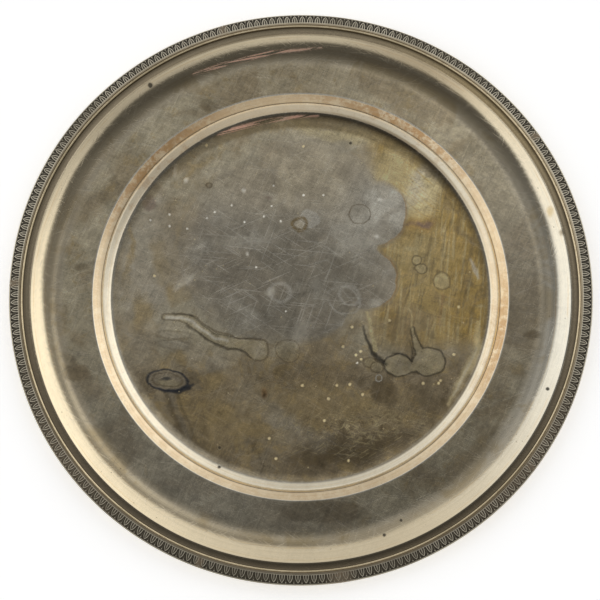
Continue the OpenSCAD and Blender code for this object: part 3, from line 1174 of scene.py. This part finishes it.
def finished(g, coat, r, filmed, scratches):
    """The coat with dark specks, grain, faint brushing and turning marks, and its height."""
    dark = g.times(g.specks(4.4, 0.5, (31, 12)), g.step(g.noise(0.035, 2.0), 0.5, 0.38))
    coat.paint(g.times(dark, g.step(r, ARRIS, ARRIS - 2)), DARK, 0.55, 0.4)

    grain = g.line(g.noise(0.85, 4.0, 0.62), 0.56, -0.28)
    grain = g.math("ADD", grain, g.line(g.noise(0.24, 4.0, 0.6), 0.7, -0.35))
    grain = g.math("ADD", grain, g.line(g.noise(0.07, 3.0, 0.5), 0.72, -0.36))
    grain = g.math("ADD", grain, g.line(g.brushed(64, (16, 0.9), (8, 3)), 0.42, -0.21))
    grain = g.math("ADD", grain, g.line(g.brushed(-22, (12, 0.8), (2, 60)), 0.35, -0.175))
    grain = g.times(grain, g.line(filmed, 0.82, 0.18))
    turning = g.times(g.line(g.rings(r, 2.4), 0.5, -0.25), g.line(filmed, -0.75, 1.0))
    coat.shade(g.math("ADD", g.math("ADD", grain, turning), 1.0))

    film = g.line(g.noise(0.35, 4.0, 0.6), 0.12, -0.06)
    smears = g.line(g.brushed(31, (9, 1.2)), 0.08, -0.04)
    rougher = g.times(g.math("ADD", film, smears), g.line(filmed, 0.8, 0.2))
    coat.roughness = g.math("ADD", coat.roughness, rougher)
    return coat, g.line(scratches, -0.25, g.times(g.noise(2.2, 2.0), 0.08)), 0.02 * MM


def dish_well(g, place):
    """The upper side out to the foot of the bouge."""
    r = g.polar(place)
    cloud = g.noise(0.026, 5.0, 0.62, warp=0.6)
    mottle = g.noise(0.1, 6.0, 0.68, warp=0.5)
    haze = g.noise(0.045, 4.0, 0.55, warp=0.5)
    loose = g.frayed(place, 0.06, 6.0, 1)
    edge = g.frayed(place, 0.075, 1.3, 2)
    fine = g.frayed(place, 0.5, 0.22, 3)

    coat = Coat(g, CLEAN, 0.15)
    well = Zone(coat, g.step(r, FOOT - 0.1, FOOT - 1.9))
    paint_film(g, coat, place, loose, well, cloud, mottle)
    paint_stains(g, coat, place, loose, well)
    paint_crust(g, place, loose, well)
    patch = paint_patch(g, coat, place, edge, well, haze, mottle)
    paint_drip(g, coat, edge)
    paint_spill(g, coat, edge, mottle)
    paint_eye(g, coat, edge)
    paint_marks(g, coat, edge, fine)
    paint_foot(g, coat, r)
    paint_crescent_shade(g, coat, r)
    paint_rub(g, coat, fine, [
        (-46, 92.4, 0.5), (-37, 95.6, 1.3), (-22, 99.6, 1.0), (-2, 102.6, 0.9), (10, 103, 0.4),
    ])
    scratches = hairline_scratches(g)
    paint_scratches(g, coat, place, r, patch, scratches)
    return finished(g, coat, r, g.step(r, FOOT + 0.1, FOOT - 1.9), scratches)


def dish_rim(g, place):
    """The upper side from the foot of the bouge to the flange."""
    r = g.polar(place)
    cloud = g.noise(0.026, 5.0, 0.62, warp=0.6)
    mottle = g.noise(0.1, 6.0, 0.68, warp=0.5)
    fleck = g.noise(0.16, 5.0, 0.7)
    edge = g.frayed(place, 0.075, 1.3, 2)
    fine = g.frayed(place, 0.5, 0.22, 3)

    coat = Coat(g, CLEAN, 0.15)
    paint_foot(g, coat, r)
    marly = paint_rim(g, coat, r, cloud, mottle, fleck)
    paint_crescent_shade(g, coat, r)
    paint_rim_marks(g, coat, edge, fine)
    paint_rub(g, coat, fine, [(-60, 126, 0.5), (-42, 132, 1.6), (-16, 138.5, 1.2), (12, 141, 0.4)])
    scratches = hairline_scratches(g)
    coat.paint(g.times(scratches, g.step(r, ARRIS - 1, COVE + 9)), SPECK_AND_HIGHLIGHT, 0.1, 0.38)
    return finished(g, coat, r, marly, scratches)


def dish_under(g, place):
    """The underside: evenly filmed, with turning marks and a rubbed resting face."""
    r = g.length(*place)
    cloud = g.noise(0.022, 5.0, 0.6, warp=0.6)
    fleck = g.noise(0.14, 5.0, 0.68)
    coat = Coat(g, CLEAN, 0.26)
    coat.paint(g.step(cloud, 0.34, 0.64), GREY, 0.85)
    coat.paint(g.step(cloud, 0.5, 0.74), BROWN, 0.6)
    coat.paint(g.step(fleck, 0.56, 0.74), OLIVE, 0.45)
    rubbed = g.times(g.step(r, FLOOR - 1.5, FLOOR - 5.5), g.step(g.noise(0.05, 4.0, 0.6), 0.42, 0.6))
    coat.paint(rubbed, CLEAN, 0.55, 0.36)
    scratches = g.math(
        "MAXIMUM",
        g.hairlines(12, (20, 0.8), (5, 11)),
        g.hairlines(-52, (24, 0.9), (23, 7)),
    )
    coat.paint(g.times(scratches, rubbed), SPECK_AND_HIGHLIGHT, 0.5, 0.45)
    coat.paint(g.step(r, LEAF - 1, LEAF + 1.5), DARK, 0.5)
    turning = g.math("SINE", g.times(r, 5.2))
    return coat, g.line(scratches, -0.35, g.times(turning, 0.06)), 0.02 * MM


def border_metal(g, place):
    """Stamped silver, black in its ground and rubbed brighter on its ridges."""
    relief = g.add("ShaderNodeAttribute", {}, "Fac", attribute_name="relief")
    grime = g.add("ShaderNodeAttribute", {}, "Fac", attribute_name="grime")
    fleck = g.noise(0.9, 4.0, 0.6)
    patches = g.noise(0.035, 3.0)
    coat = Coat(g, BORDER_BLACK, 0.55)
    coat.paint(g.step(relief, 0.12, 0.7), BORDER_GREY, 1.0, 0.44)
    coat.paint(g.step(relief, 0.58, 0.92), BORDER_SILVER, 0.92, 0.3)
    coat.paint(g.step(patches, 0.45, 0.68), BORDER_BROWN, 0.38)
    g.polar(place)
    coat.paint(g.towards(-108, 86), BORDER_SHADE, 0.42)
    coat.paint(g.times(grime, g.step(fleck, 0.3, 0.62)), DRIED_POLISH, 0.7, 0.6)
    coat.paint(g.step(fleck, 0.6, 0.74), SOOT_AND_SHADE, 0.45)
    return coat, g.noise(3.2, 3.0, 0.6), 0.03 * MM


def reed_metal(g, place):
    """Plain wire, rubbed bright along its crowns and dark in the crease between them."""
    r = g.polar(place)
    fleck = g.noise(0.25, 4.0, 0.65)
    patches = g.noise(0.03, 3.0)
    coat = Coat(g, GOLDEN, 0.22)
    coat.paint(g.step(patches, 0.4, 0.66), SPILL, 0.55)
    coat.paint(g.step(fleck, 0.52, 0.7), BROWN, 0.5)
    middle = (REED + LEAF) / 2
    outer = Zone(coat, g.step(r, middle - 0.15, middle + 0.15))
    # The outer crown: duller all round, and darker towards -Y, which is painted shade.
    outer.paint(g.line(g.towards(-75, 100), 0.25, 0.66), DULL, 1.0, 0.4)
    outer.paint(g.towards(-50, 86), DARK, 0.72)
    outer.paint(g.towards(-155, 80), DARK, 0.66)
    outer.paint(g.line(g.towards(-130, 150), 0.42, 0.12), SOOT_AND_SHADE)
    coat.paint(g.outline(r, 0.3, middle), DARK, 0.62, 0.5)
    # Dirt and painted shade at the wire's inner foot.
    coat.paint(g.step(r, REED + 0.2, REED), SOOT_AND_SHADE, 0.75, 0.5)
    return coat, g.noise(2.4, 3.0, 0.55), 0.02 * MM


# ---------------------------------------------------------------- the salver

dish = make_dish()
dish.data.materials.append(metal("dish_well", dish_well))
dish.data.materials.append(metal("dish_rim", dish_rim))
dish.data.materials.append(metal("dish_under", dish_under))

reed = make_reed()
reed.data.materials.append(metal("reed_metal", reed_metal))

border = metal("border_metal", border_metal)
for number, node_name in enumerate(STRIP_NODES):
    make_strip(number, node_name).data.materials.append(border)

# ---------------------------------------------------------------- studio


# Rays are told apart by where they meet a unit sphere round the dish
OPENING_Y = 0.101
OPENING_EDGE = (0.296, 0.348)
GLOW = (0.062, 0.268)
GLOW_REACH = 0.108
FLOOR_LEVEL = 0.85


def lobe(g, x, y, heading, power):
    """1 in a compass direction, in degrees from +X, and 0 from a right angle away."""
    a = math.radians(heading)
    facing = g.math("MULTIPLY_ADD", x, math.cos(a), g.times(y, math.sin(a)))
    share = g.math("DIVIDE", facing, g.math("ADD", g.length(x, y), 0.001))
    return g.math("POWER", g.math("MAXIMUM", share, 0.0), power)


def make_world():
    """A light tent: pale walls all round, with a dark opening overhead on the camera's side."""
    world = bpy.data.worlds.new("studio")
    bpy.context.scene.world = world
    world.use_nodes = True
    g = Graph(world.node_tree)
    ray = g.add("ShaderNodeTexCoord", {}, "Generated")
    split = g.add("ShaderNodeSeparateXYZ", {"Vector": ray}).node
    x, y, z = split.outputs
    opening = g.length(x, g.math("SUBTRACT", y, OPENING_Y))
    wall_share = g.step(opening, *OPENING_EDGE)
    walls = g.line(lobe(g, x, y, 42, 4.0), 1.0, 0.42)
    walls = g.math("MULTIPLY_ADD", lobe(g, x, y, 162, 2.0), 0.82, walls)
    walls = g.math("MULTIPLY_ADD", lobe(g, x, y, 270, 2.0), 0.22, walls)

    depth = g.math("MAXIMUM", g.line(y, 0.7, 0.06), 0.08)
    depth = g.times(depth, g.line(g.step(y, 0.33, 0.4), -0.32, 1.0))
    glow = g.length(g.math("SUBTRACT", x, GLOW[0]), g.math("SUBTRACT", y, GLOW[1]))
    depth = g.math("MULTIPLY_ADD", g.step(glow, GLOW_REACH, 0.0), 0.48, depth)
    left = g.times(g.step(x, -0.02, -0.11), g.step(x, -0.2, -0.14), g.step(y, 0.15, 0.21))
    depth = g.math("MULTIPLY_ADD", left, 0.14, depth)
    tent = g.blend_numbers(wall_share, depth, walls)
    level = g.blend_numbers(g.step(z, 0.34, 0.12), tent, FLOOR_LEVEL)
    back = g.add("ShaderNodeBackground", {"Strength": level})
    g.add("ShaderNodeOutputWorld", {"Surface": back})


def make_floor():
    """A plain pale floor, lit from within so that it is white in the picture."""
    bpy.ops.mesh.primitive_plane_add(size=6)
    floor = bpy.context.object
    floor.name = "floor"
    pale = bpy.data.materials.new("floor")
    pale.use_nodes = True
    shader = pale.node_tree.nodes["Principled BSDF"].inputs
    shader["Base Color"].default_value = (0.9, 0.9, 0.9, 1)
    shader["Roughness"].default_value = 0.9
    shader["Emission Color"].default_value = (1, 1, 1, 1)
    shader["Emission Strength"].default_value = 0.45
    floor.data.materials.append(pale)


def make_camera():
    """Nearly overhead, from slightly east of south, with +Y at the picture's top."""
    azimuth = math.radians(4.55)
    elevation = math.radians(77.76)
    distance = 1.2
    aim = Vector((-0.17 * MM, -3.74 * MM, 6 * MM))
    back = Vector((
        math.sin(azimuth) * math.cos(elevation),
        -math.cos(azimuth) * math.cos(elevation),
        math.sin(elevation),
    ))
    up = Vector((0, 1, 0))
    up = (up - back * up.dot(back)).normalized()
    right = up.cross(back)
    data = bpy.data.cameras.new("camera")
    data.lens = 131.16
    data.sensor_width = 36
    data.clip_end = 20
    camera = bpy.data.objects.new("camera", data)
    turn = Matrix((right, up, back)).transposed().to_4x4()
    camera.matrix_world = Matrix.Translation(aim + back * distance) @ turn
    bpy.context.scene.collection.objects.link(camera)
    bpy.context.scene.camera = camera


make_world()
make_floor()
make_camera()
bpy.context.scene.view_settings.view_transform = "Standard"
